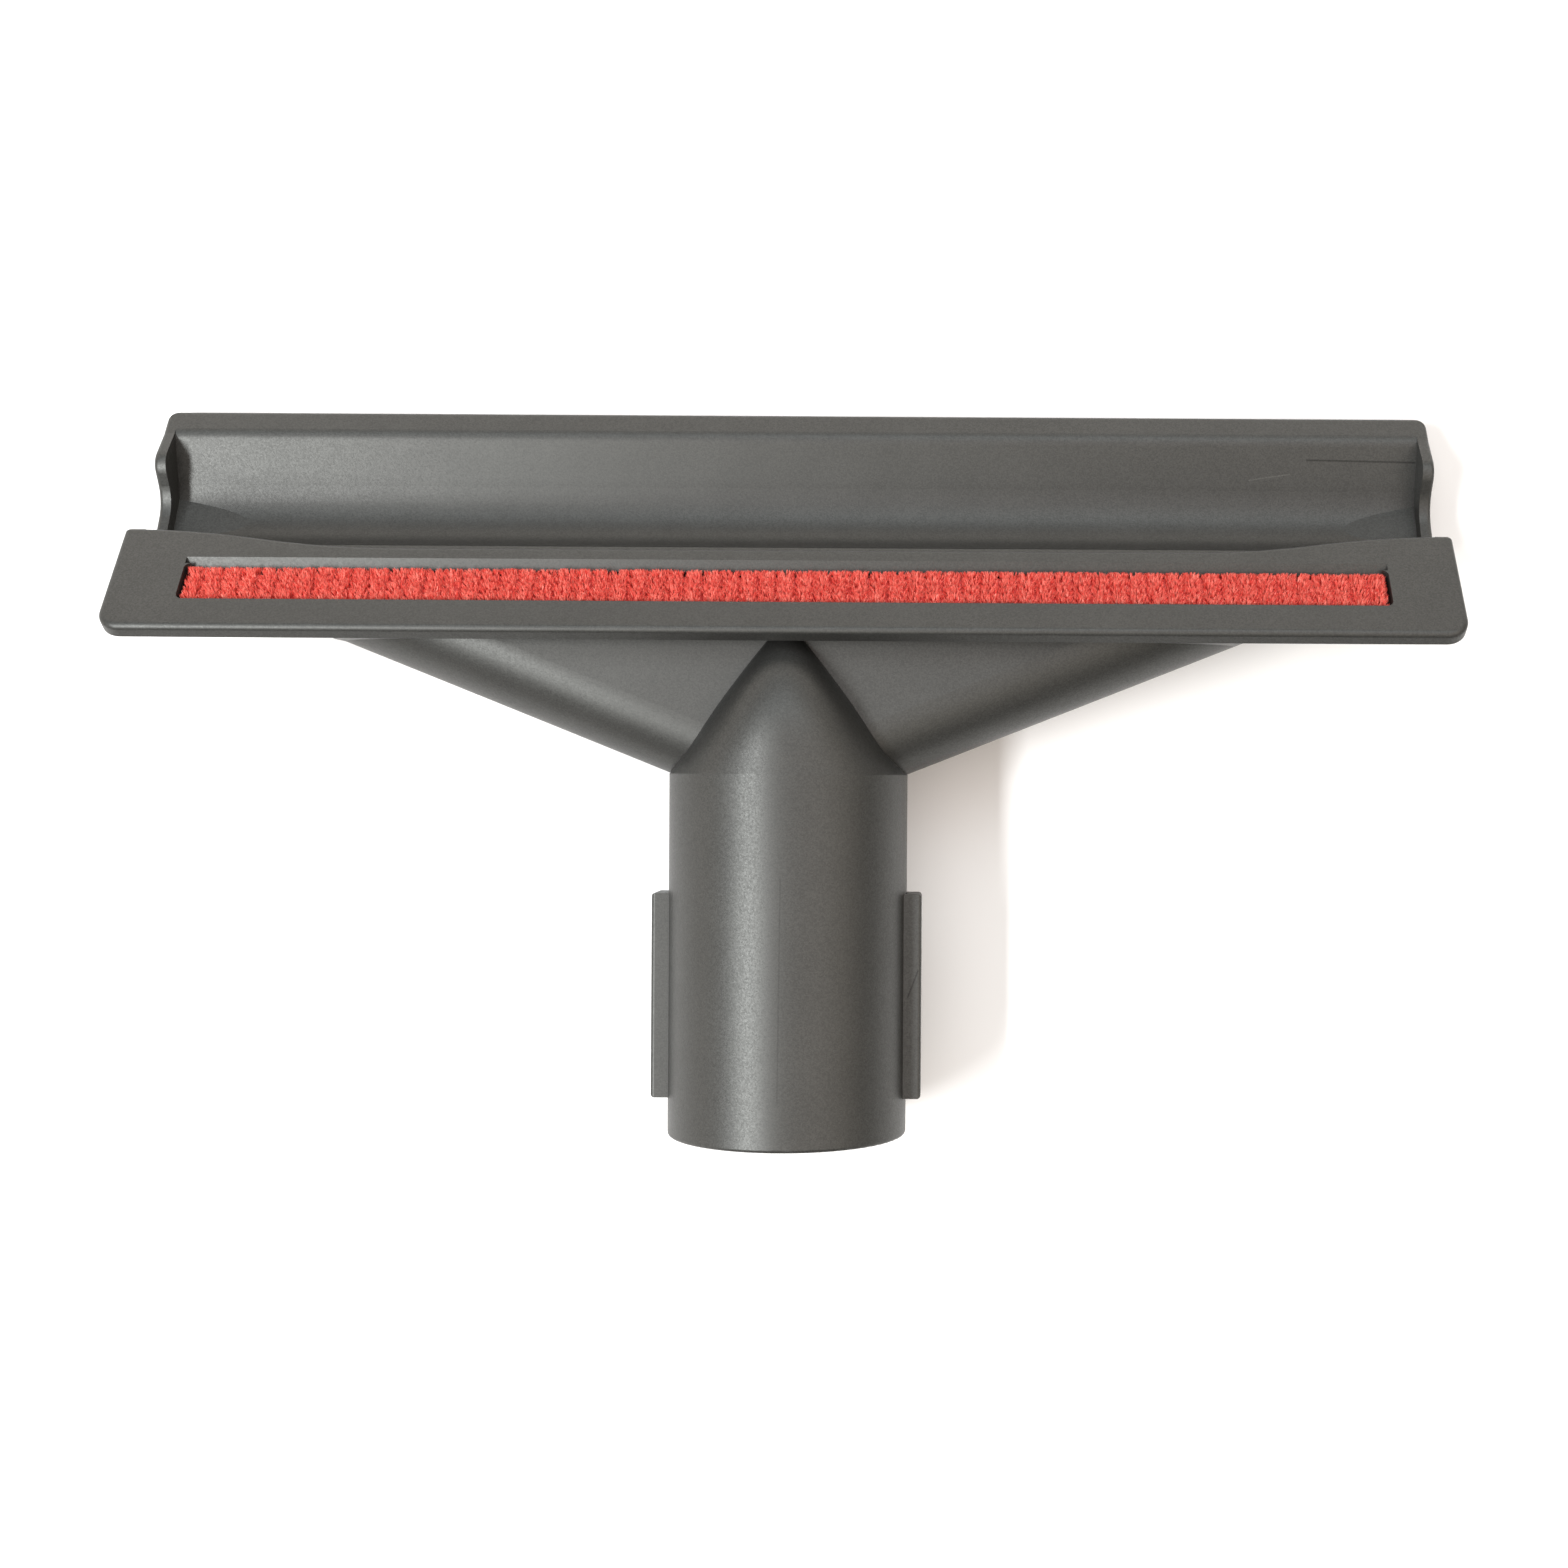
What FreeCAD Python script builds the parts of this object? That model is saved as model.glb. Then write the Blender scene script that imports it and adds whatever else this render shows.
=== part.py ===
import FreeCAD, Part
import os
import Sketcher

# Upholstery nozzle of a vacuum cleaner, lying on its back with the sole up.
# X runs across the tool, +Y from the shoulder of the neck to the hood, +Z up.
# Each form is built with Y = 0 at the shoulder and Z = 0 on the table; the
# finished pieces are then moved so that the origin is under the tool's middle.
# All sizes in millimetres, angles in degrees.

SIZES = [
    # head
    ("half_width", 105.2),
    ("hood_reach", 60.05),
    # neck
    ("neck_radius", 19.0),
    ("neck_wall", 2.0),
    ("neck_length", 57.4),
    ("neck_lift", 0.3),
    ("rail_start", 18.9),
    ("rail_length", 32.4),
    ("rail_stand_out", 2.4),
    ("rail_width", 8.0),
    ("arch_length", 22.5),
    ("arch_end_radius", 1.7),
    ("arch_fall", 9.9),
    ("catch_start", 36.0),
    ("catch_length", 9.0),
    ("catch_width", 12.0),
    ("catch_depth", 1.1),
    # fan
    ("fan_neck_half", 18.7),
    ("fan_reach", 34.4),
    ("fan_height", 28.3),
    ("riser_lead", 1.04),
    ("riser_drop", 1.5),
    ("fan_wall", 2.0),
    ("fan_round_top", 9.5),
    ("fan_round_back", 14.0),
    # sole plate, measured along its own slope from the upper rear edge
    ("sole_tilt", 37.0),
    ("sole_rear_y", 21.94),
    ("sole_rear_z", 35.5),
    ("sole_depth", 17.1),
    ("sole_thick", 2.4),
    ("sole_edge_round", 0.9),
    ("sole_rear_corner", 3.5),
    ("sole_front_corner", 0.8),
    ("flare_rise", 3.8),
    ("flare_length", 43.0),
    ("slot_margin", 11.2),
    ("slot_rear", 5.8),
    ("slot_depth", 7.35),
    ("slot_corner", 1.0),
    ("bevel_reach", 1.35),
    ("bevel_drop", 1.45),
    ("shelf_depth", 6.4),
    ("shelf_drop", 3.2),
    ("collar_wall", 1.4),
    ("collar_drop", 4.6),
    # hood; the shares are of the way from its rear wall to its tip
    ("front_wall_y", 36.0),
    ("trough_share", 0.395),
    ("trough_floor", 5.0),
    ("trough_tilt", 14.0),
    ("toe_reach", 2.5),
    ("hood_thick", 2.4),
    ("end_wall", 2.0),
    ("lip_share", 0.835),
    ("lip_tilt", 34.3),
    ("lip_round", 1.1),
    ("crest_round", 2.5),
    ("hood_corner", 2.2),
    ("hump_share", 0.613),
    ("hump_rise_share", 0.3),
    ("hump_round_share", 0.125),
    ("dip_share", 0.355),
    ("dip_rise_share", 0.129),
    ("dip_round_share", 0.208),
    ("wall_share", 0.109),
    ("wall_rise_share", 0.245),
    ("rim_round", 0.8),
    ("gusset_length", 20.0),
    ("gusset_near_share", 0.437),
    ("gusset_far_share", 0.291),
    ("gusset_slope", 0.47),
    # lint strip
    ("strip_gap", 0.3),
    ("strip_depth", 5.9),
    ("pile_top", 0.3),
    ("tuft_pitch", 2.9),
    ("groove_width", 1.1),
    ("groove_depth", 1.5),
    # general
    ("clearance", 0.3),
    ("edge_break", 0.6),
]

doc = FreeCAD.newDocument("upholstery_nozzle")
sheet = doc.addObject("Spreadsheet::Sheet", "Sizes")
for row, (alias, value) in enumerate(SIZES, start=1):
    sheet.set("A%d" % row, alias.replace("_", " "))
    sheet.set("B%d" % row, str(value))
    sheet.setAlias("B%d" % row, alias)
doc.recompute()


# Helpers for sketches whose points follow the sheet

def short(text):
    """Write an expression with bare names of sizes as FreeCAD wants it."""
    words = {alias for alias, value in SIZES}
    out = ""
    word = ""
    for sign in text + " ":
        if sign.isalnum() or sign == "_":
            word += sign
            continue
        out += "Sizes." + word if word in words else word
        out += sign
        word = ""
    return out.strip()


def number(text):
    return float(sheet.evalExpression(short(text)))


def new_body(label):
    body = doc.addObject("PartDesign::Body", label)
    body.Label = label
    return body


def new_sketch(body, name, role, offset="0"):
    """Sketch on one of the body's origin planes, moved along its normal."""
    sketch = body.newObject("Sketcher::SketchObject", name)
    plane = [f for f in body.Origin.OriginFeatures if f.Role == role][0]
    sketch.AttachmentSupport = [(plane, "")]
    sketch.MapMode = "FlatFace"
    if offset != "0":
        sketch.setExpression("AttachmentOffset.Base.z", short(offset))
    doc.recompute()
    return sketch


def tie_point(sketch, geo, pos, x, y):
    """Tie a sketch point to the expressions x and y; None leaves one free."""
    for kind, axis, text in (("DistanceX", -2, x), ("DistanceY", -1, y)):
        if text is None:
            continue
        if text == "0":
            sketch.addConstraint(Sketcher.Constraint("PointOnObject", geo, pos, axis))
            continue
        n = sketch.addConstraint(
            Sketcher.Constraint(kind, -1, 1, geo, pos, number(text)))
        sketch.setExpression("Constraints[%d]" % n, short(text))


def outline(sketch, points):
    """Closed outline. A point is (x, y) at the end of a line, or
    (x, y, cx, cy, keep) at the end of an arc round (cx, cy), where keep
    names the coordinate that is tied; the other follows the circle."""
    flat = FreeCAD.Vector
    known = [flat(number(p[0]), number(p[1]), 0) for p in points]
    ends = []
    for i, point in enumerate(points):
        a, b = known[i - 1], known[i]
        if len(point) == 2:
            geo = sketch.addGeometry(Part.LineSegment(a, b), False)
            ends.append((geo, 1, 2))
            continue
        centre = flat(number(point[2]), number(point[3]), 0)
        radius = (a - centre).Length
        circle = Part.Circle(centre, flat(0, 0, 1), radius)
        turn = (a - centre).cross(b - centre).z
        first, last = (a, b) if turn > 0 else (b, a)
        geo = sketch.addGeometry(Part.ArcOfCircle(
            circle, circle.parameter(first), circle.parameter(last)), False)
        ends.append((geo, 1, 2) if turn > 0 else (geo, 2, 1))
    count = len(points)
    for i in range(count):
        geo, start, end = ends[i]
        after = ends[(i + 1) % count]
        sketch.addConstraint(
            Sketcher.Constraint("Coincident", geo, end, after[0], after[1]))
    for i, point in enumerate(points):
        geo, start, end = ends[i]
        if len(point) == 2:
            tie_point(sketch, geo, end, point[0], point[1])
            continue
        tie_point(sketch, geo, 3, point[2], point[3])
        if point[4] == "x":
            tie_point(sketch, geo, end, point[0], None)
        elif point[4] == "y":
            tie_point(sketch, geo, end, None, point[1])


def ring(sketch, x, y, radius):
    """Full circle round (x, y)."""
    centre = FreeCAD.Vector(number(x), number(y), 0)
    circle = Part.Circle(centre, FreeCAD.Vector(0, 0, 1), number(radius))
    geo = sketch.addGeometry(circle, False)
    tie_point(sketch, geo, 3, x, y)
    n = sketch.addConstraint(Sketcher.Constraint("Radius", geo, number(radius)))
    sketch.setExpression("Constraints[%d]" % n, short(radius))


def pad(body, name, sketch, length, reverse=False, middle=False):
    feature = body.newObject("PartDesign::Pad", name)
    feature.Profile = sketch
    feature.setExpression("Length", short(length))
    feature.Reversed = reverse
    if middle:
        feature.SideType = "Symmetric"
    doc.recompute()
    return feature


def pocket(body, name, sketch, length, middle=False):
    feature = body.newObject("PartDesign::Pocket", name)
    feature.Profile = sketch
    feature.setExpression("Length", short(length))
    if middle:
        feature.SideType = "Symmetric"
    doc.recompute()
    return feature


def round_edges(body, name, base, radius, wanted):
    """Round the edges of base for which wanted(edge) is true."""
    picks = ["Edge%d" % (i + 1)
             for i, edge in enumerate(base.Shape.Edges) if wanted(edge)]
    feature = body.newObject("PartDesign::Fillet", name)
    feature.Base = (base, picks)
    feature.setExpression("Radius", short(radius))
    doc.recompute()
    return feature


def middle_of(edge):
    return edge.CenterOfMass


FINE = 0.05


def near(a, b, slack=FINE):
    return abs(a - b) < slack


def along_x(edge):
    box = edge.BoundBox
    return box.YLength < 0.01 and box.ZLength < 0.01 and box.XLength > 1


# Neck: plain tube, its rails and the arch that runs out into the fan

neck = new_body("neck_form")
AXIS = "(neck_radius + neck_lift)"
sketch = new_sketch(neck, "neck_ring", "XZ_Plane")
ring(sketch, "0", AXIS, "neck_radius")
pad(neck, "neck_tube", sketch, "neck_length")

ARCH_STEPS = 4


def run_out(body, name, stations, wall):
    """Loft through rings (y, centre height, outer radius), smaller by the wall."""
    rings = []
    for i, (y, height, radius) in enumerate(stations):
        sketch = new_sketch(body, "%s_ring_%d" % (name, i), "XZ_Plane", "-(%s)" % y)
        ring(sketch, "0", height, "%s - %s" % (radius, wall))
        rings.append(sketch)
    loft = body.newObject("PartDesign::AdditiveLoft", name)
    loft.Profile = rings[0]
    loft.Sections = rings[1:]
    doc.recompute()


def arch_stations(count):
    """The arch narrows evenly while its top bends down ever more steeply."""
    stations = []
    for i in range(count):
        share = "%d / %d" % (i, ARCH_STEPS)
        radius = "(neck_radius - (neck_radius - arch_end_radius) * %s)" % share
        top = "(%s + neck_radius - arch_fall * (%s)^3)" % (AXIS, share)
        stations.append(("arch_length * " + share, "%s - %s" % (top, radius), radius))
    return stations


run_out(neck, "arch", arch_stations(ARCH_STEPS + 1), "0")

sketch = new_sketch(neck, "rail_plan", "XY_Plane", AXIS + " - rail_width / 2")
OUT = "(neck_radius + rail_stand_out)"
outline(sketch, [
    ("-" + OUT, "-rail_start - rail_length"),
    (OUT, "-rail_start - rail_length"),
    (OUT, "-rail_start"),
    ("-" + OUT, "-rail_start"),
])
rails = pad(neck, "rails", sketch, "rail_width")
reach = number(OUT)
rails = round_edges(neck, "rail_edges", rails, "edge_break",
                    lambda e: near(abs(middle_of(e).x), reach))
mouth = -number("neck_length")
round_edges(neck, "mouth_edge", rails, "edge_break",
            lambda e: near(e.BoundBox.YMin, mouth) and near(e.BoundBox.YMax, mouth)
            and e.BoundBox.XLength > number("neck_radius"))

# Fan: flat duct body with slanted, well rounded flanks

SLOPE = "((half_width - fan_neck_half) / fan_reach)"
PAST = "(1.4 * fan_reach)"


def flank(edge, height):
    box = edge.BoundBox
    return (box.XLength > 5 and box.YLength > 5
            and near(box.ZMin, height) and near(box.ZMax, height))


def flank_form(name, side, half, low, height, top_round, back_round):
    """Slab with one slanted, rounded flank; two of them meet in the fan."""
    sign = "" if side > 0 else "-"
    body = new_body(name)
    sketch = new_sketch(body, name + "_plan", "XY_Plane", low)
    outline(sketch, [
        (sign + "(-2 * half_width)", "0"),
        ("%s(%s)" % (sign, half), "0"),
        ("%s(%s + %s * %s)" % (sign, half, SLOPE, PAST), PAST),
        (sign + "(-2 * half_width)", PAST),
    ])
    slab = pad(body, name + "_slab", sketch, height)
    bottom = number(low)
    top = bottom + number(height)
    slab = round_edges(body, name + "_top", slab, top_round, lambda e: flank(e, top))
    round_edges(body, name + "_back", slab, back_round, lambda e: flank(e, bottom))
    return body


def both_flanks(name, half, low, height, inset):
    """The slabs of both flanks; inset is how far they lie inside the outer skin."""
    return [flank_form("%s_%s" % (name, word), side, half, low, height,
                       "fan_round_top - " + inset, "fan_round_back - " + inset)
            for side, word in ((1, "right"), (-1, "left"))]


def across(name, start, high):
    """Box over the whole width from Y = start to the hood's rear wall."""
    box = doc.addObject("Part::Box", name)
    box.setExpression("Length", short("2 * half_width"))
    box.setExpression("Width", short("front_wall_y - (%s)" % start))
    box.setExpression("Height", short(high))
    box.setExpression("Placement.Base.x", short("-half_width"))
    box.setExpression("Placement.Base.y", short(start))
    return box


def shared(name, shapes):
    made = doc.addObject("Part::MultiCommon", name)
    made.Shapes = shapes
    doc.recompute()
    return made


fan = shared("fan_form", both_flanks("fan", "fan_neck_half", "0", "fan_height", "0")
             + [across("fan_bounds", "0", "fan_height")])

# Riser: from just short of the sole plate the fan is taller, to carry the plate
RISER_Y = "(sole_rear_y - riser_lead)"
RISER_TOP = "(sole_rear_z - riser_drop)"
riser = shared("riser_form", both_flanks("riser", "fan_neck_half", "0", RISER_TOP, "0")
               + [across("riser_bounds", RISER_Y, RISER_TOP)])

# Hood: a trough with end walls, open at the top

SPAN = "(hood_reach - front_wall_y)"
TROUGH = "(trough_share * %s)" % SPAN
ARC_Y = "(front_wall_y + %s)" % TROUGH
ARC_Z = "(trough_floor + %s)" % TROUGH
REAR_Y = "(front_wall_y - fan_wall)"
HIGH = "(sole_rear_z + hood_thick)"
SLOPE_Y = "(%s + %s * sin(trough_tilt))" % (ARC_Y, TROUGH)
SLOPE_Z = "(%s - %s * cos(trough_tilt))" % (ARC_Z, TROUGH)
LIP_Y, HUMP_Y, DIP_Y, WALL_Y = [
    "(front_wall_y + %s_share * %s)" % (word, SPAN)
    for word in ("lip", "hump", "dip", "wall")]
HUMP_Z, DIP_Z, WALL_Z = [
    "(trough_floor + %s_rise_share * %s)" % (word, SPAN)
    for word in ("hump", "dip", "wall")]
LIP_Z = "(%s + (%s - %s) * tan(trough_tilt))" % (SLOPE_Z, LIP_Y, SLOPE_Y)
TIP_Z = "(%s - (hood_reach - %s) * tan(lip_tilt))" % (LIP_Z, LIP_Y)
hood = new_body("hood_form")
sketch = new_sketch(hood, "hood_profile", "YZ_Plane")
outline(sketch, [
    (REAR_Y, "0"),
    ("front_wall_y", "0"),
    (SLOPE_Y, SLOPE_Z + " - hood_thick"),
    (LIP_Y, LIP_Z + " - hood_thick"),
    ("hood_reach", TIP_Z + " - hood_thick"),
    ("hood_reach", TIP_Z),
    (LIP_Y, LIP_Z),
    (HUMP_Y, HUMP_Z),
    (DIP_Y, DIP_Z),
    (WALL_Y, WALL_Z),
    (WALL_Y, HIGH),
    (REAR_Y, HIGH),
])
shell = pad(hood, "hood_block", sketch, "2 * half_width", middle=True)


def edge_at(y_text, z_text):
    y, z = number(y_text), number(z_text)
    return lambda e: along_x(e) and near(middle_of(e).y, y) and near(middle_of(e).z, z)


for word, y_text, z_text in (("hump", HUMP_Y, HUMP_Z), ("dip", DIP_Y, DIP_Z)):
    shell = round_edges(hood, word + "_bend", shell, "%s_round_share * %s" % (word, SPAN),
                        edge_at(y_text, z_text))
shell = round_edges(hood, "lip_tip_bend", shell, "lip_round", edge_at("hood_reach", TIP_Z))

sketch = new_sketch(hood, "trough_profile", "YZ_Plane")
CREST_RUN = "crest_round * tan((trough_tilt + lip_tilt) / 2)"
CREST_Y = "(%s - %s * cos(trough_tilt))" % (LIP_Y, CREST_RUN)
CREST_Z = "(%s - %s * sin(trough_tilt))" % (LIP_Z, CREST_RUN)
FALL_Y = "(%s + %s * cos(lip_tilt))" % (LIP_Y, CREST_RUN)
outline(sketch, [
    ("front_wall_y", "2 * " + HIGH),
    ("front_wall_y", ARC_Z),
    (SLOPE_Y, SLOPE_Z, ARC_Y, ARC_Z, "x"),
    (CREST_Y, CREST_Z),
    (FALL_Y, "%s - %s * sin(lip_tilt)" % (LIP_Z, CREST_RUN),
     CREST_Y + " + crest_round * sin(trough_tilt)",
     CREST_Z + " - crest_round * cos(trough_tilt)", "x"),
    (FALL_Y, "2 * " + HIGH),
])
pocket(hood, "trough", sketch, "2 * (half_width - end_wall)", middle=True)
rim_x, rim_rear, rim_low = number("half_width"), number(WALL_Y), number(TIP_Z)
round_edges(hood, "rim_edges", hood.Tip, "rim_round",
            lambda e: near(e.BoundBox.XLength, 0, 0.01)
            and near(abs(middle_of(e).x), rim_x)
            and middle_of(e).y > rim_rear + FINE
            and middle_of(e).z > rim_low - FINE)

# Ramps in the trough's rear corners, next to the end walls
RAMP_Y = "(front_wall_y - fan_wall / 2)"


def ramp_outline(sketch, reach):
    outline(sketch, [
        (RAMP_Y, "trough_floor"),
        ("%s + %s" % (RAMP_Y, reach), "trough_floor"),
        (RAMP_Y, "trough_floor + %s * gusset_slope" % reach),
    ])


for sign, word in (("", "right"), ("-", "left")):
    near_end = new_sketch(hood, "gusset_wall_" + word, "YZ_Plane",
                          sign + "(half_width - end_wall / 2)")
    ramp_outline(near_end, "(gusset_near_share * %s)" % SPAN)
    far_end = new_sketch(hood, "gusset_tip_" + word, "YZ_Plane",
                         sign + "(half_width - end_wall - gusset_length)")
    ramp_outline(far_end, "(gusset_far_share * %s)" % SPAN)
    ramp = hood.newObject("PartDesign::AdditiveLoft", "gusset_" + word)
    ramp.Profile = near_end
    ramp.Sections = [far_end]
    doc.recompute()

# The hood's free corners are rounded in plan
hood_plan = new_body("hood_plan")
sketch = new_sketch(hood_plan, "hood_plan_outline", "XY_Plane")
outline(sketch, [
    ("-half_width", "0"),
    ("half_width", "0"),
    ("half_width", "hood_reach"),
    ("-half_width", "hood_reach"),
])
prism = pad(hood_plan, "hood_plan_prism", sketch, HIGH)
tip_y = number("hood_reach")
round_edges(hood_plan, "hood_corners", prism, "hood_corner",
            lambda e: near(middle_of(e).y, tip_y) and e.BoundBox.ZLength > 1)
hood_cut = shared("hood_rounded", [hood, hood_plan])

# Cores that hollow the duct: neck bore, arch and fan down to the toe under the trough

bore = new_body("bore_core")
sketch = new_sketch(bore, "bore_ring", "XZ_Plane")
ring(sketch, "0", AXIS, "neck_radius - neck_wall")
pad(bore, "bore", sketch, "neck_length + 1")
run_out(bore, "arch_core", arch_stations(ARCH_STEPS), "neck_wall")

INNER = "(fan_neck_half - fan_wall * sqrt(1 + %s^2))" % SLOPE
side_core = new_body("duct_side_core")
sketch = new_sketch(side_core, "duct_side", "YZ_Plane")
TOE_Y = "(front_wall_y + toe_reach)"
TOE_TOP = "(%s - sqrt((%s + fan_wall)^2 - (%s - toe_reach)^2))" % (ARC_Z, TROUGH, TROUGH)
outline(sketch, [
    ("-1", "fan_wall / 2"),
    ("front_wall_y", "fan_wall"),
    (TOE_Y, "fan_wall + toe_reach * tan(trough_tilt)"),
    (TOE_Y, TOE_TOP),
    (REAR_Y, ARC_Z, ARC_Y, ARC_Z, "y"),
    (REAR_Y, HIGH),
    ("-1", HIGH),
])
pad(side_core, "duct_side_block", sketch, "2 * (half_width - end_wall)", middle=True)

duct = shared("duct_core", both_flanks(
    "duct", INNER, "fan_wall", "fan_height - 2 * fan_wall", "fan_wall") + [side_core])
riser_core = shared("riser_core", both_flanks(
    "chamber", INNER, "fan_wall", RISER_TOP + " - 2 * fan_wall", "fan_wall")
    + [side_core, across("chamber_bounds", RISER_Y + " + fan_wall", RISER_TOP)])

# The slope of the sole, with the way that each piece is moved at the end

MIDDLE = "((neck_length - hood_reach) / 2)"
SLOT_HALF = "(half_width - slot_margin)"


def tilt(thing, shift="0"):
    """Place a thing that is built flat onto the slope of the sole."""
    thing.Placement = FreeCAD.Placement(
        FreeCAD.Vector(0, number("sole_rear_y"), number("sole_rear_z")),
        FreeCAD.Rotation(FreeCAD.Vector(-1, 0, 0), number("sole_tilt")))
    thing.setExpression("Placement.Base.y", short("sole_rear_y + " + shift))
    thing.setExpression("Placement.Base.z", short("sole_rear_z"))
    thing.setExpression("Placement.Rotation.Axis.x", "-1")
    thing.setExpression("Placement.Rotation.Angle", short("sole_tilt"))


def tilted_box(name, half, rear, front, low, high):
    """Box of the sole's own frame, as a body with its placement tilted."""
    body = new_body(name)
    sketch = new_sketch(body, name + "_plan", "XY_Plane", low)
    outline(sketch, [
        ("-(%s)" % half, rear),
        (half, rear),
        (half, front),
        ("-(%s)" % half, front),
    ])
    pad(body, name + "_block", sketch, "%s - (%s)" % (high, low))
    tilt(body)
    return body


# Room above the slope of the sole plate, and for the collar under its slot
above = tilted_box("sole_room", "1.5 * half_width", "-1",
                   "(%s - sole_rear_y) / cos(sole_tilt) + sole_thick" % WALL_Y,
                   "-sole_thick", "sole_rear_z")
collar_room = tilted_box(
    "collar_room", SLOT_HALF + " + collar_wall + clearance",
    "slot_rear - collar_wall - clearance",
    "slot_rear + slot_depth + collar_wall + clearance",
    "-collar_drop - clearance", "0")

# Latch recess on the hidden side of the neck
catch = doc.addObject("Part::Box", "catch_recess")
catch.setExpression("Length", short("catch_width"))
catch.setExpression("Width", short("catch_length"))
catch.setExpression("Height", short("catch_depth + neck_lift + 1"))
catch.setExpression("Placement.Base.x", short("-catch_width / 2"))
catch.setExpression("Placement.Base.y", short("-catch_start - catch_length"))
catch.Placement.Base.z = -1
doc.recompute()

solid = doc.addObject("Part::MultiFuse", "shell_solid")
solid.Shapes = [neck, fan, riser, hood_cut]
doc.recompute()
tools = doc.addObject("Part::MultiFuse", "shell_cores")
tools.Shapes = [bore, duct, riser_core, above, collar_room, catch]
doc.recompute()
nozzle = doc.addObject("Part::Cut", "nozzle_body")
nozzle.Base = solid
nozzle.Tool = tools
nozzle.Refine = True
nozzle.Label = "nozzle_body"
nozzle.setExpression("Placement.Base.y", short(MIDDLE))
doc.recompute()

# Sole plate, built flat: x across, y down the slope, top face at z = 0

sole = new_body("sole_plate")
sketch = new_sketch(sole, "sole_plan", "XY_Plane")
BACK = "sole_depth"
FRONT = "(sole_depth + flare_rise)"
BEND = "(((flare_length / 2)^2 + (flare_rise / 2)^2) / flare_rise)"
START = "(half_width - flare_length)"
HALFWAY = "(half_width - flare_length / 2)"
MID_Y = "(sole_depth + flare_rise / 2)"
outline(sketch, [
    ("-half_width", "0"),
    ("half_width", "0"),
    ("half_width", FRONT),
    (HALFWAY, MID_Y, "half_width", "%s - %s" % (FRONT, BEND), "x"),
    (START, BACK, START, "%s + %s" % (BACK, BEND), "x"),
    ("-" + START, BACK),
    ("-" + HALFWAY, MID_Y, "-" + START, "%s + %s" % (BACK, BEND), "x"),
    ("-half_width", FRONT, "-half_width", "%s - %s" % (FRONT, BEND), "x"),
])
plate = pad(sole, "sole_slab", sketch, "sole_thick", reverse=True)
half = number("half_width")


def corner(edge, y):
    box = edge.BoundBox
    return (box.XLength < 0.01 and box.YLength < 0.01
            and near(abs(box.XMin), half) and near(box.YMin, y))


plate = round_edges(sole, "rear_corners", plate, "sole_rear_corner", lambda e: corner(e, 0))
plate = round_edges(sole, "front_corners", plate, "sole_front_corner",
                    lambda e: corner(e, number(FRONT)))
plate = round_edges(sole, "top_edge", plate, "sole_edge_round",
                    lambda e: near(e.BoundBox.ZMin, 0) and near(e.BoundBox.ZMax, 0))
sketch = new_sketch(sole, "collar_plan", "XY_Plane", "-sole_thick")
outline(sketch, [
    ("-%s - collar_wall" % SLOT_HALF, "slot_rear - collar_wall"),
    (SLOT_HALF + " + collar_wall", "slot_rear - collar_wall"),
    (SLOT_HALF + " + collar_wall", "slot_rear + slot_depth + collar_wall"),
    ("-%s - collar_wall" % SLOT_HALF, "slot_rear + slot_depth + collar_wall"),
])
plate = pad(sole, "collar", sketch, "collar_drop - sole_thick", reverse=True)
sketch = new_sketch(sole, "slot_plan", "XY_Plane")
outline(sketch, [
    ("-" + SLOT_HALF, "slot_rear"),
    (SLOT_HALF, "slot_rear"),
    (SLOT_HALF, "slot_rear + slot_depth"),
    ("-" + SLOT_HALF, "slot_rear + slot_depth"),
])
plate = pocket(sole, "slot", sketch, "shelf_drop")
slot_x = number(SLOT_HALF)
plate = round_edges(sole, "slot_corners", plate, "slot_corner",
                    lambda e: near(abs(middle_of(e).x), slot_x) and e.BoundBox.YLength < 0.01
                    and e.BoundBox.ZLength > 1)
sketch = new_sketch(sole, "bevel_profile", "YZ_Plane")
SLOT_FRONT = "(slot_rear + slot_depth)"
outline(sketch, [
    (SLOT_FRONT, "-bevel_drop"),
    (SLOT_FRONT + " + bevel_reach", "0"),
    (SLOT_FRONT + " + bevel_reach", "sole_thick"),
    (SLOT_FRONT, "sole_thick"),
])
plate = pocket(sole, "slot_bevel", sketch, "2 * " + SLOT_HALF, middle=True)
sketch = new_sketch(sole, "gap_plan", "XY_Plane")
outline(sketch, [
    ("-%s + slot_corner" % SLOT_HALF, "slot_rear + shelf_depth"),
    (SLOT_HALF + " - slot_corner", "slot_rear + shelf_depth"),
    (SLOT_HALF + " - slot_corner", "slot_rear + slot_depth"),
    ("-%s + slot_corner" % SLOT_HALF, "slot_rear + slot_depth"),
])
pocket(sole, "suction_gap", sketch, "2 * collar_drop")
tilt(sole, MIDDLE)
doc.recompute()

# Lint strip: pile rows on a woven backing that lies on the shelf of the slot

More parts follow.
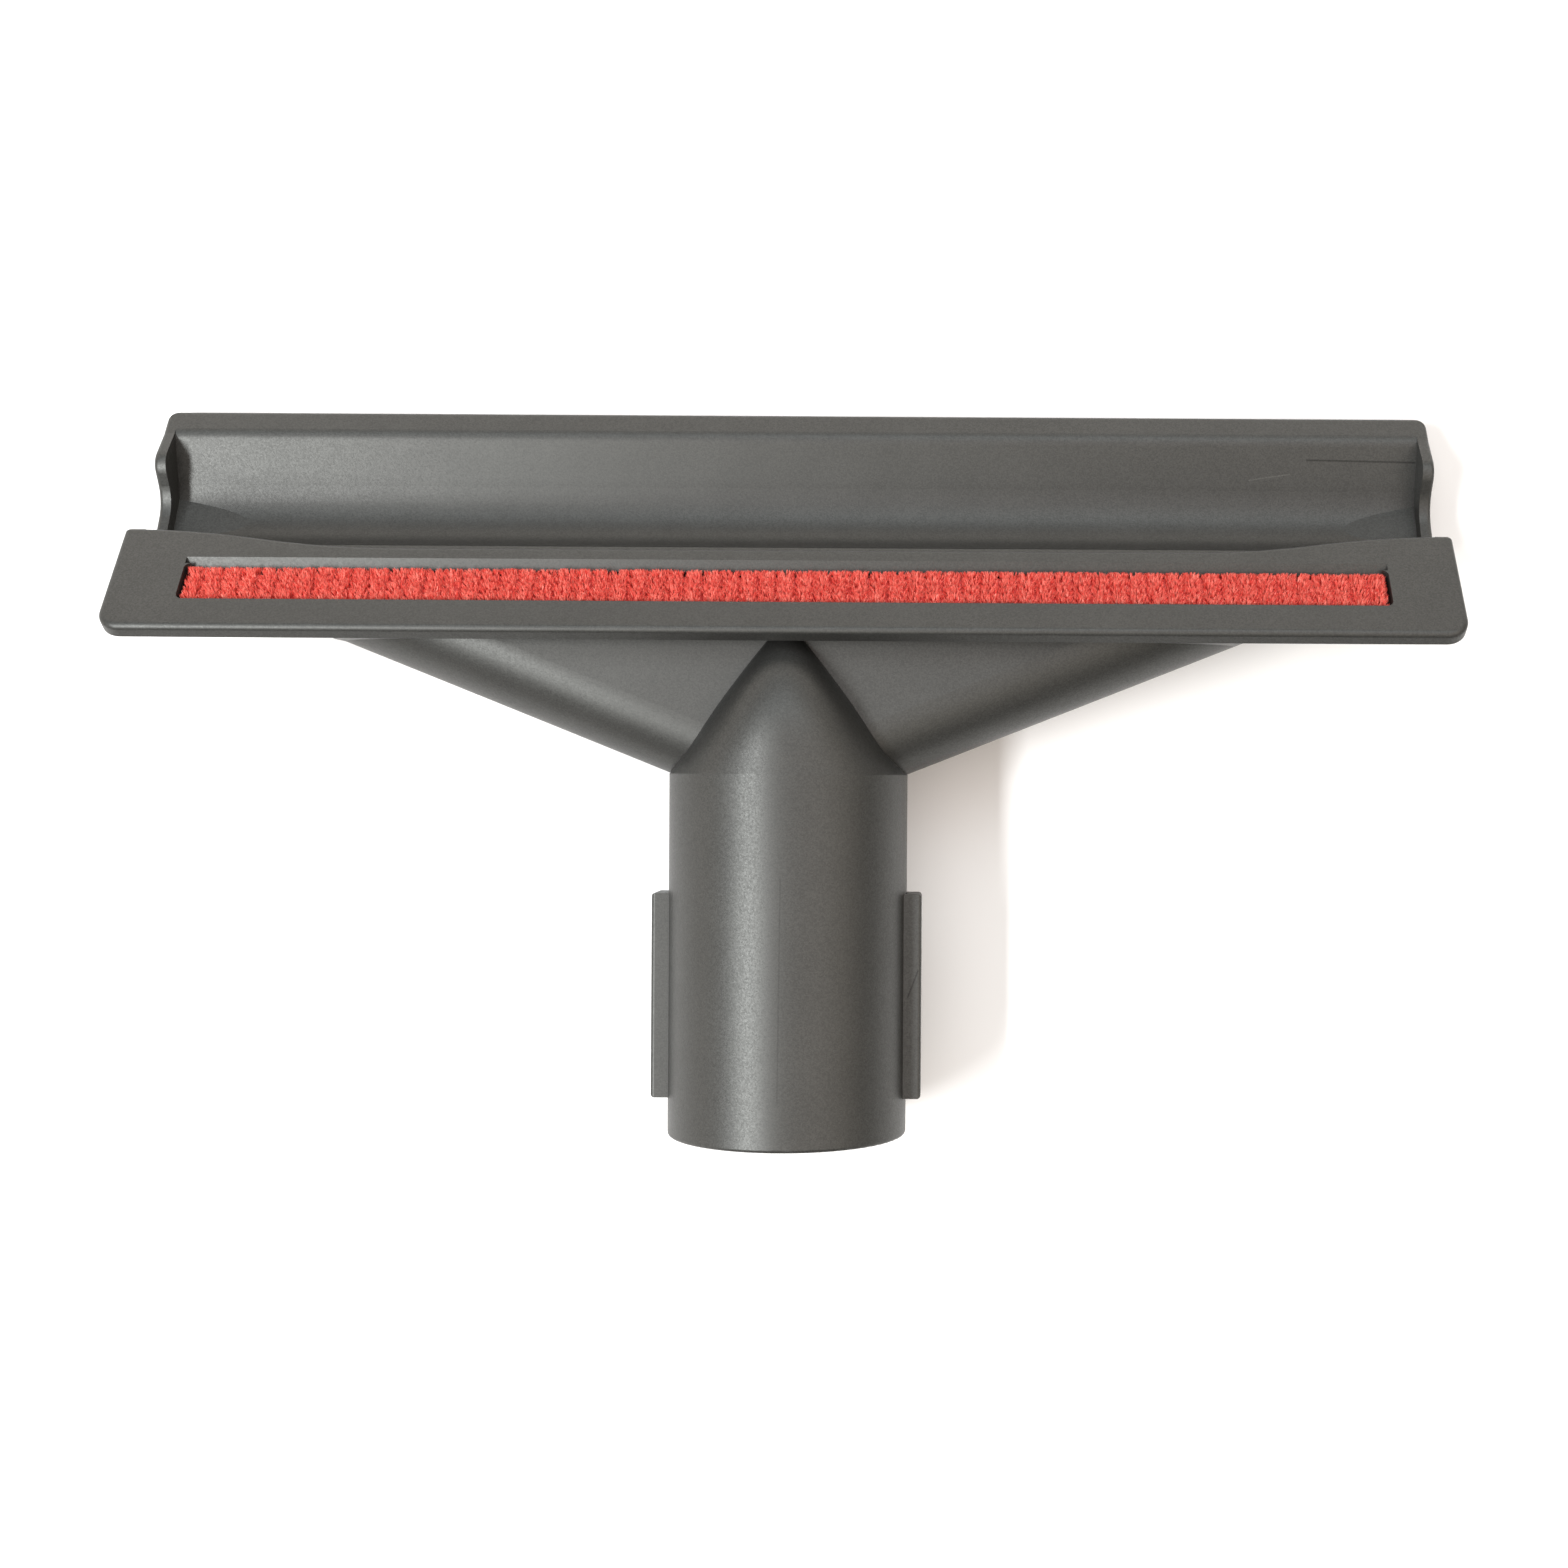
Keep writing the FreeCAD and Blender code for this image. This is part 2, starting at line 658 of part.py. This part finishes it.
strip = new_body("lint_strip")
STRIP_HALF = "(%s - strip_gap)" % SLOT_HALF
STRIP_REAR = "(slot_rear + strip_gap)"
sketch = new_sketch(strip, "strip_plan", "XY_Plane", "-shelf_drop")
outline(sketch, [
    ("-" + STRIP_HALF, STRIP_REAR),
    (STRIP_HALF, STRIP_REAR),
    (STRIP_HALF, STRIP_REAR + " + strip_depth"),
    ("-" + STRIP_HALF, STRIP_REAR + " + strip_depth"),
])
pile = pad(strip, "strip_block", sketch, "shelf_drop + pile_top")
pile = round_edges(strip, "strip_corners", pile, "slot_corner",
                   lambda e: e.BoundBox.ZLength > 1)
sketch = new_sketch(strip, "row_groove", "XZ_Plane")
FIRST = "(tuft_pitch - %s)" % STRIP_HALF
outline(sketch, [
    (FIRST, "pile_top - groove_depth"),
    (FIRST + " + groove_width / 2", "pile_top"),
    (FIRST + " - groove_width / 2", "pile_top"),
])
cut = pocket(strip, "cross_groove", sketch, "4 * sole_depth", middle=True)
rows = strip.newObject("PartDesign::LinearPattern", "cross_grooves")
rows.Originals = [cut]
rows.Direction = ([f for f in strip.Origin.OriginFeatures if f.Role == "X_Axis"][0], [""])
count = int(2 * number(STRIP_HALF) / number("tuft_pitch")) - 1
rows.Occurrences = count
rows.setExpression("Length", short("tuft_pitch * %d" % (count - 1)))
strip.Tip = rows
doc.recompute()
for i, part in enumerate(("1 / 3", "2 / 3")):
    sketch = new_sketch(strip, "long_groove_%d" % (i + 1), "YZ_Plane")
    at = "%s + strip_depth * %s" % (STRIP_REAR, part)
    outline(sketch, [
        (at, "pile_top - groove_depth"),
        (at + " + groove_width / 2", "pile_top"),
        (at + " - groove_width / 2", "pile_top"),
    ])
    pocket(strip, "long_cut_%d" % (i + 1), sketch, "3 * half_width", middle=True)
tilt(strip, MIDDLE)
doc.recompute()

# Nothing is written unless every object is sound

for thing in doc.Objects:
    state = set(thing.State)
    assert not state & {"Invalid", "Error"}, (thing.Label, thing.State)
NODES = [nozzle, sole, strip]
for node in NODES:
    shape = node.Shape
    assert not shape.isNull() and shape.isValid(), node.Label
    assert len(shape.Solids) == 1, (node.Label, len(shape.Solids))
os.makedirs("parts", exist_ok=True)
for node in NODES:
    node.Shape.exportStep("parts/%s.step" % node.Label)
    box = node.Shape.optimalBoundingBox(False)
    print(node.Label, "x %.2f %.2f" % (box.XMin, box.XMax), "y %.2f %.2f" % (box.YMin, box.YMax),
          "z %.2f %.2f" % (box.ZMin, box.ZMax), "volume %.0f" % node.Shape.Volume)
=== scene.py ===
import math
import random
import bpy
import bmesh
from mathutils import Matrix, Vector


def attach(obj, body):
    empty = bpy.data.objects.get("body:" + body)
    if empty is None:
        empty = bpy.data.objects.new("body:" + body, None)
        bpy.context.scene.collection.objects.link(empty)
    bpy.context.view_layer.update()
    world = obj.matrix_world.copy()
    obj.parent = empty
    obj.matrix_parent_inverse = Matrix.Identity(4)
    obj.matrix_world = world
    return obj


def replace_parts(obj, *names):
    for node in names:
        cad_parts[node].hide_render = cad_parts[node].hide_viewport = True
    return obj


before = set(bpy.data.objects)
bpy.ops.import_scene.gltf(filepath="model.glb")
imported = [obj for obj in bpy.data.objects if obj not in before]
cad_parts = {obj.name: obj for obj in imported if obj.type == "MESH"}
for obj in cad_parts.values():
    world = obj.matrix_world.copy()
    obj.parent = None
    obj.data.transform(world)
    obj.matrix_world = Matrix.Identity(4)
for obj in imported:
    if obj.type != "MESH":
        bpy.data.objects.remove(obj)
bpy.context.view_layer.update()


# Camera: straight above the tool, about 330 mm over the neck's axis. The photo is a
# crop of a larger picture, so the lens axis isn't in the middle of it, and the tool
# lies a third of a degree askew.
lens = bpy.data.cameras.new("camera")
lens.sensor_width = 36
lens.lens = 47.27
lens.shift_x = -0.0955
lens.shift_y = -0.0057
lens.clip_start = 0.02
camera = bpy.data.objects.new("camera", lens)
camera.location = (0.0232, -0.0013, 0.3493)
camera.rotation_euler = (0, 0, math.radians(0.35))
bpy.context.scene.collection.objects.link(camera)
bpy.context.scene.camera = camera
bpy.context.scene.view_settings.view_transform = "Standard"


# Floor and light: a matt white table and a narrow window high up to the left. The rest
# is a white room, brightest past the hood and low to the left, with hardly any light
# from low at the right or behind the neck, so the right side of the tool goes dark.
def node(tree, kind, inputs=None, **settings):
    """Add a node. An input is a value, or a socket that is linked to it."""
    made = tree.nodes.new(kind)
    for name, value in settings.items():
        setattr(made, name, value)
    for name, value in (inputs or {}).items():
        if isinstance(value, bpy.types.NodeSocket):
            tree.links.new(value, made.inputs[name])
        else:
            made.inputs[name].default_value = value
    return made


def linear(text):
    """Linear colour, with alpha, of an sRGB colour such as #aabbcc."""
    parts = [int(text[i:i + 2], 16) / 255 for i in (1, 3, 5)]
    return [p / 12.92 if p < 0.04045 else ((p + 0.055) / 1.055) ** 2.4 for p in parts] + [1]


def new_material(name):
    """Material with its node tree and its shader."""
    made = bpy.data.materials.new(name)
    made.use_nodes = True
    return made, made.node_tree, made.node_tree.nodes["Principled BSDF"]


def new_object(name, build):
    """Object whose mesh is what build() puts into an empty bmesh."""
    form = bmesh.new()
    build(form)
    data = bpy.data.meshes.new(name)
    form.to_mesh(data)
    form.free()
    made = bpy.data.objects.new(name, data)
    bpy.context.scene.collection.objects.link(made)
    return made


FLOOR_SIZE = 0.60
floor = new_object("table_top", lambda form: bmesh.ops.create_grid(
    form, x_segments=1, y_segments=1, size=FLOOR_SIZE / 2))
white_table, tree, shader = new_material("white table")
shader.inputs["Base Color"].default_value = linear("#f4f3f2")
shader.inputs["Roughness"].default_value = 0.9
shader.inputs["Specular IOR Level"].default_value = 0.1
floor.data.materials.append(white_table)

WINDOW_TILT = math.radians(32.5)
WINDOW_FAR = 0.75
WINDOW_SHIFT = -0.15
pane = bpy.data.lights.new("window", "AREA")
pane.shape = "RECTANGLE"
pane.size = 0.085
pane.size_y = 0.50
pane.energy = 7.2
pane.color = (0.95, 0.98, 1.0)
window = bpy.data.objects.new("window", pane)
window.location = (-WINDOW_FAR * math.sin(WINDOW_TILT), WINDOW_SHIFT,
                   WINDOW_FAR * math.cos(WINDOW_TILT))
window.rotation_euler = (0, -WINDOW_TILT, 0)
bpy.context.scene.collection.objects.link(window)

ROOM_STRENGTH = 1.07
ROOM_ABOVE = (1.23, 1.10, 1.07)
ROOM_SIDES = (  # axis, side of it, band of height, light
    ("X", 1, "middle", (1.41, 1.27, 1.11)),
    ("X", 1, "high", (2.05, 1.88, 1.78)),
    ("X", -1, "low", (2.17, 1.99, 1.84)),
    ("Y", 1, "low", (2.90, 2.71, 2.54)),
    ("Y", 1, "high", (2.80, 3.01, 3.15)),
    ("Y", -1, "high", (1.15, 1.04, 0.86)))
BAND_EDGES = (  # sines of the angle above the horizon, where a band fades in
    (-0.001, 0.001), (0.15, 0.45), (0.5, 0.8), (0.86, 0.985))
room = bpy.data.worlds.new("room")
bpy.context.scene.world = room
room.use_nodes = True
tree = room.node_tree
tree.nodes.clear()
way = node(tree, "ShaderNodeTexCoord").outputs["Generated"]
split = node(tree, "ShaderNodeSeparateXYZ", {"Vector": way})
level = node(tree, "ShaderNodeVectorMath", {0: way, 1: (1, 1, 0)}, operation="MULTIPLY")
aside = node(tree, "ShaderNodeVectorMath", {0: level.outputs[0]}, operation="NORMALIZE")
asides = node(tree, "ShaderNodeSeparateXYZ", {"Vector": aside.outputs[0]})
steps = [node(tree, "ShaderNodeMapRange", {
    "Value": split.outputs["Z"], "From Min": low, "From Max": high},
    interpolation_type="SMOOTHSTEP").outputs["Result"] for low, high in BAND_EDGES]
bands = {}
for name, lower, upper in zip(("low", "middle", "high"), steps, steps[1:]):
    band = node(tree, "ShaderNodeMath", {0: lower, 1: upper}, operation="SUBTRACT")
    bands[name] = band.outputs[0]
total = node(tree, "ShaderNodeVectorMath", {
    0: ROOM_ABOVE, "Scale": steps[3]}, operation="SCALE")
for axis, sign, name, light in ROOM_SIDES:
    facing = node(tree, "ShaderNodeMath", {
        0: asides.outputs[axis], 1: sign}, operation="MULTIPLY", use_clamp=True)
    square = node(tree, "ShaderNodeMath", {
        0: facing.outputs[0], 1: facing.outputs[0]}, operation="MULTIPLY")
    share = node(tree, "ShaderNodeMath", {
        0: square.outputs[0], 1: bands[name]}, operation="MULTIPLY")
    part = node(tree, "ShaderNodeVectorMath", {
        0: light, "Scale": share.outputs[0]}, operation="SCALE")
    total = node(tree, "ShaderNodeVectorMath", {
        0: total.outputs[0], 1: part.outputs[0]}, operation="ADD")
lit = node(tree, "ShaderNodeBackground", {
    "Color": total.outputs[0], "Strength": ROOM_STRENGTH})
plain = node(tree, "ShaderNodeBackground", {"Color": (1, 1, 1, 1), "Strength": 1.0})
ray = node(tree, "ShaderNodeLightPath")
mixed = node(tree, "ShaderNodeMixShader", {
    0: ray.outputs["Is Camera Ray"], 1: lit.outputs["Background"],
    2: plain.outputs["Background"]})
node(tree, "ShaderNodeOutputWorld", {"Surface": mixed.outputs["Shader"]})


# Body: one moulding of iron-grey ABS with a fine metallic fleck, satin from a textured
# mould. A faint mould line runs along the top of the neck. At the right of the hood's
# floor a dark line is painted shade, where the lip's reflection ends, beside a pale
# scratch; a hair scratch crosses the right rail.
FLECK_MM = 0.20  # the real fleck may be finer, but this is about the smallest that shows
FLECK_TONE = (0.86, 1.14)
FLECK_ROUGHNESS = (0.43, 0.52)
FLECK_LEAN = 0.028
CLOUD_MM = 9.0
CLOUD_TONE = (0.97, 1.03)
MARK_CORE = 0.3  # share of a mark's width that has its full change of tone
MARKS = (  # start and end seen from above, width, change of tone
    # painted shade: dark line on the hood's floor, where the lip's reflection ends
    ((0.0850, 0.0515), (0.1030, 0.0512), 0.00022, -0.45),
    ((0.0755, 0.0482), (0.0822, 0.0492), 0.00016, 0.35),
    ((0.0209, -0.0323), (0.0193, -0.0365), 0.00016, -0.45),
    ((0.0001, -0.0170), (-0.0002, -0.0510), 0.00016, -0.16))


def line_mask(tree, place, start, end, width):
    """1 on the line from start to end seen from above, 0 beyond its width (metres)."""
    start, end = Vector((*start, 0)), Vector((*end, 0))
    along = end - start
    flat = node(tree, "ShaderNodeVectorMath", {
        0: place, 1: (1, 1, 0)}, operation="MULTIPLY")
    away = node(tree, "ShaderNodeVectorMath", {
        0: flat.outputs[0], 1: start}, operation="SUBTRACT")
    share = node(tree, "ShaderNodeVectorMath", {
        0: away.outputs[0], 1: along / along.length_squared}, operation="DOT_PRODUCT")
    held = node(tree, "ShaderNodeClamp", {"Value": share.outputs["Value"]})
    foot = node(tree, "ShaderNodeVectorMath", {
        0: along, "Scale": held.outputs[0]}, operation="SCALE")
    gap = node(tree, "ShaderNodeVectorMath", {
        0: away.outputs[0], 1: foot.outputs[0]}, operation="DISTANCE")
    return node(tree, "ShaderNodeMapRange", {
        "Value": gap.outputs["Value"], "From Min": width * MARK_CORE, "From Max": width,
        "To Min": 1.0, "To Max": 0.0}).outputs["Result"]


abs_grey, tree, shader = new_material("moulded ABS, iron grey")
place = node(tree, "ShaderNodeTexCoord").outputs["Object"]
surface = node(tree, "ShaderNodeNewGeometry")
fleck = node(tree, "ShaderNodeTexVoronoi", {"Vector": place, "Scale": 1000 / FLECK_MM})
chances = node(tree, "ShaderNodeSeparateColor", {"Color": fleck.outputs["Color"]})
shade = node(tree, "ShaderNodeMapRange", {
    "Value": chances.outputs[0], "To Min": FLECK_TONE[0], "To Max": FLECK_TONE[1]})
cloud = node(tree, "ShaderNodeTexNoise", {
    "Vector": place, "Scale": 1000 / CLOUD_MM, "Detail": 2.0})
drift = node(tree, "ShaderNodeMapRange", {
    "Value": cloud.outputs[0], "From Min": 0.3, "From Max": 0.7,
    "To Min": CLOUD_TONE[0], "To Max": CLOUD_TONE[1]})
tone = node(tree, "ShaderNodeMath", {
    0: shade.outputs[0], 1: drift.outputs[0]}, operation="MULTIPLY")
turned = node(tree, "ShaderNodeSeparateXYZ", {"Vector": surface.outputs["Normal"]})
upward = node(tree, "ShaderNodeMath", {
    0: turned.outputs["Z"], 1: 0.0}, operation="GREATER_THAN")
for start, end, width, change in MARKS:
    line = line_mask(tree, place, start, end, width)
    seen = node(tree, "ShaderNodeMath", {
        0: line, 1: upward.outputs[0]}, operation="MULTIPLY")
    factor = node(tree, "ShaderNodeMath", {
        0: seen.outputs[0], 1: change, 2: 1.0}, operation="MULTIPLY_ADD")
    tone = node(tree, "ShaderNodeMath", {
        0: tone.outputs[0], 1: factor.outputs[0]}, operation="MULTIPLY")
tint = node(tree, "ShaderNodeVectorMath", {
    0: linear("#494947")[:3], "Scale": tone.outputs[0]}, operation="SCALE")
gloss = node(tree, "ShaderNodeMapRange", {
    "Value": chances.outputs[1],
    "To Min": FLECK_ROUGHNESS[0], "To Max": FLECK_ROUGHNESS[1]})
wobble = node(tree, "ShaderNodeVectorMath", {
    0: fleck.outputs["Color"], 1: (0.5, 0.5, 0.5)}, operation="SUBTRACT")
small = node(tree, "ShaderNodeVectorMath", {
    0: wobble.outputs[0], "Scale": FLECK_LEAN}, operation="SCALE")
leaned = node(tree, "ShaderNodeVectorMath", {
    0: surface.outputs["Normal"], 1: small.outputs[0]}, operation="ADD")
straight = node(tree, "ShaderNodeVectorMath", {0: leaned.outputs[0]}, operation="NORMALIZE")
tree.links.new(tint.outputs[0], shader.inputs["Base Color"])
tree.links.new(gloss.outputs[0], shader.inputs["Roughness"])
tree.links.new(straight.outputs[0], shader.inputs["Normal"])
shader.inputs["IOR"].default_value = 1.52
shader.inputs["Metallic"].default_value = 0.8

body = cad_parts["nozzle_body"]
body.data.materials.clear()
body.data.materials.append(abs_grey)


# Sole plate: a second moulding of the same ABS, a flat plate with a rounded edge and a
# long slot. It is welded on the body.
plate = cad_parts["sole_plate"]
plate.data.materials.clear()
plate.data.materials.append(abs_grey)


# Lint strip: red nylon pile in rows of tufts on a woven backing, cut from a roll and
# glued on the shelf of the slot. The fibres spread at their tips, so that the tufts
# merge into a velvet. Only small notches between them show along the rear edge, dark
# with the bed's painted shade. The tufts' sides have painted shade, and single fibres
# painted glints.
SOLE_BASE = Vector((0, 0.020615, 0.0355))
SOLE_TILT = math.radians(37)
PILE_HALF = 0.0936
PILE_REAR, PILE_FRONT = 0.0061, 0.0128
PILE_LOW, PILE_HIGH = -0.0031, 0.0002
TUFT_PITCH = 0.0029
TUFT_ROWS = 4
YARNS = 40  # in a tuft
FIBRES = 5  # in a yarn
FIBRE_RADIUS = 0.00008  # coarser than real nylon fibre, so that it shows
PATCH_MM = 6.0  # patches of slightly lighter and darker pile
SEED = 7


def on_sole(u, v, w):
    """Point at u across, v down the slope and w above the sole's face."""
    return SOLE_BASE + Vector((
        u,
        v * math.cos(SOLE_TILT) + w * math.sin(SOLE_TILT),
        w * math.cos(SOLE_TILT) - v * math.sin(SOLE_TILT)))


def pile_bed(form):
    """Closed bumpy bed of the tufts' roots, with the backing as its lower face."""
    columns, rows = 390, 16
    end_round, side_round = 0.0012, 0.0008
    edge_high, rise, knob_high = 0.0004, 0.0013, 0.0006
    set_back = 0.0004
    front = PILE_FRONT - set_back
    depth = front - PILE_REAR
    tops, lows = [], []
    for i in range(columns + 1):
        u = -PILE_HALF + 2 * PILE_HALF * i / columns
        end = min(1.0, (PILE_HALF - abs(u)) / end_round)
        knob = knob_high * abs(math.sin(math.pi * (u + PILE_HALF) / TUFT_PITCH))
        top, low = [], []
        for j in range(rows + 1):
            v = PILE_REAR + depth * j / rows
            side = min(1.0, min(v - PILE_REAR, front - v) / side_round)
            edge = math.sqrt(max(0.0, 1 - (1 - min(end, side)) ** 2))
            w = PILE_LOW + edge_high + edge * (rise + knob)
            top.append(form.verts.new(on_sole(u, v, w)))
            low.append(form.verts.new(on_sole(u, v, PILE_LOW)))
        tops.append(top)
        lows.append(low)
    for i in range(columns):
        for j in range(rows):
            form.faces.new((tops[i][j], tops[i + 1][j], tops[i + 1][j + 1], tops[i][j + 1]))
            form.faces.new((lows[i][j], lows[i][j + 1], lows[i + 1][j + 1], lows[i + 1][j]))
        for j in (0, rows):
            form.faces.new((tops[i][j], tops[i + 1][j], lows[i + 1][j], lows[i][j]))
    for i in (0, columns):
        for j in range(rows):
            form.faces.new((tops[i][j], tops[i][j + 1], lows[i][j + 1], lows[i][j]))
    bmesh.ops.recalc_face_normals(form, faces=form.faces)


def fibre(form, shade, tone, points, start):
    """Three-sided rod from a foot over a bend to a pointed tip. start turns it."""
    foot_radius = FIBRE_RADIUS * 0.9
    rings = []
    for (u, v, w), r in zip(points[:2], (foot_radius, FIBRE_RADIUS)):
        ring = []
        for m in range(3):
            a = start + m * 2 * math.pi / 3
            ring.append(form.verts.new(on_sole(u + r * math.cos(a), v + r * math.sin(a), w)))
        rings.append(ring)
    tip = form.verts.new(on_sole(*points[2]))
    for vert in (*rings[0], *rings[1], tip):
        vert[shade] = tone
    for m in range(3):
        n = (m + 1) % 3
        form.faces.new((rings[0][m], rings[0][n], rings[1][n], rings[1][m]))
        form.faces.new((rings[1][m], rings[1][n], tip))
    form.faces.new(rings[0][::-1])


def pile_row(row):
    """Builder of one row of tufts. side and way are a yarn's place in its tuft, -1 to 1."""
    root_high, bend_at = 0.0012, 0.6  # roots above the backing, bends' share of the height
    tuft_stray, stray, bend, uneven = 0.0001, 0.00013, 0.00008, 0.0001
    tuft_dip, tuft_rise = -0.00012, 0.00006
    tip_u, tip_v, foot_u, foot_v = 0.52, 0.60, 0.38, 0.45  # spread, shares of a tuft's size
    forward = 0.15 if row == TUFT_ROWS - 1 else 0  # the front row leans forwards
    crown_drop = 0.00025
    border, border_drop = 0.0009, 0.0004
    notch, notch_from = 0.0018, 0.6  # the rear edge has a notch at every half tuft
    # a yarn's random paleness, with painted shade at the tufts' sides, and painted glints on
    # single fibres
    yarn_tone_shaded_sides, fibre_glint = 0.6, 0.6
    low = PILE_LOW + root_high

    def build(form):
        chance = random.Random(SEED + row)
        shade = form.verts.layers.float.new("fibre")
        depth = (PILE_FRONT - PILE_REAR) / TUFT_ROWS
        count = round(2 * PILE_HALF / TUFT_PITCH)
        pitch = 2 * PILE_HALF / count
        for i in range(count):
            middle_u = -PILE_HALF + (i + 0.5) * pitch + chance.gauss(0, tuft_stray)
            middle_v = PILE_REAR + (row + 0.5) * depth
            tuft_high = PILE_HIGH + chance.uniform(tuft_dip, tuft_rise)
            for k in range(YARNS):
                side = chance.uniform(-1, 1)
                way = chance.uniform(-1, 1)
                # Random tone of a yarn, paler in the tuft's middle and darker at its sides:
                # painted shade between the tufts.
                tone = yarn_tone_shaded_sides * chance.random() ** 1.5 * (1 - side ** 2)
                lean_u = side * pitch * tip_u
                lean_v = (way * tip_v + forward) * depth
                sunk = crown_drop * side ** 4 + abs(chance.gauss(0, uneven))
                for m in range(FIBRES):
                    u = middle_u + lean_u + chance.gauss(0, stray)
                    u = max(-PILE_HALF, min(PILE_HALF, u))
                    v = middle_v + lean_v + chance.gauss(0, stray)
                    gap = max(0.0, math.cos(4 * math.pi * u / pitch) - notch_from)
                    v = max(PILE_REAR + notch * gap,
                            min(PILE_FRONT + chance.gauss(0, uneven), v))
                    inside = min(v - PILE_REAR, PILE_FRONT - v, PILE_HALF - abs(u))
                    drop = border_drop * max(0.0, 1 - inside / border) ** 2
                    high = tuft_high - sunk - drop - abs(chance.gauss(0, uneven))
                    root_u = middle_u + side * pitch * foot_u + chance.gauss(0, bend)
                    root_v = middle_v + way * depth * foot_v + chance.gauss(0, bend)
                    points = [
                        (root_u, root_v, low),
                        ((root_u + u) / 2 + chance.gauss(0, bend),
                         (root_v + v) / 2 + chance.gauss(0, bend),
                         low + (high - low) * bend_at),
                        (u, v, high)]
                    # Now and then a fibre is much paler: painted glints, the pale specks
                    # that light makes on the pile.
                    own = tone + fibre_glint * chance.random() ** 3
                    fibre(form, shade, own, points, chance.uniform(0, 2.0))
    return build


def nylon(name, dark, light):
    """Red nylon whose tone goes from dark to light by each fibre's own number."""
    made, tree, shader = new_material(name)
    place = node(tree, "ShaderNodeTexCoord").outputs["Object"]
    own = node(tree, "ShaderNodeAttribute", attribute_name="fibre")
    patch = node(tree, "ShaderNodeTexNoise", {
        "Vector": place, "Scale": 1000 / PATCH_MM, "Detail": 2.0})
    tone = node(tree, "ShaderNodeMath", {
        0: patch.outputs[0], 1: 0.15, 2: own.outputs["Fac"]}, operation="MULTIPLY_ADD")
    mixed = node(tree, "ShaderNodeMix", {
        0: tone.outputs[0], 6: linear(dark), 7: linear(light)}, data_type="RGBA")
    tree.links.new(mixed.outputs[2], shader.inputs["Base Color"])
    shader.inputs["Roughness"].default_value = 0.55
    shader.inputs["Sheen Weight"].default_value = 0.5
    shader.inputs["Sheen Tint"].default_value = linear("#ff9a88")
    return made


# The bed's red is darker than the fibres': painted shade deep in the pile, between the tufts
# and in the notches.
bed = new_object("pile_bed", pile_bed)
bed.data.materials.append(nylon("nylon pile, painted deep shade", "#a82420", "#b8302a"))
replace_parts(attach(bed, "root"), "lint_strip")
# Its pale end, #ffa292, carries the painted light: the glints and the lit middles of the
# tufts.
pile_red = nylon("nylon pile, fibres", "#d22a20", "#ffa292")
for row in range(TUFT_ROWS):
    tufts = new_object("pile_tufts_%d" % (row + 1), pile_row(row))
    tufts.data.materials.append(pile_red)
    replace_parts(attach(tufts, "root"), "lint_strip")
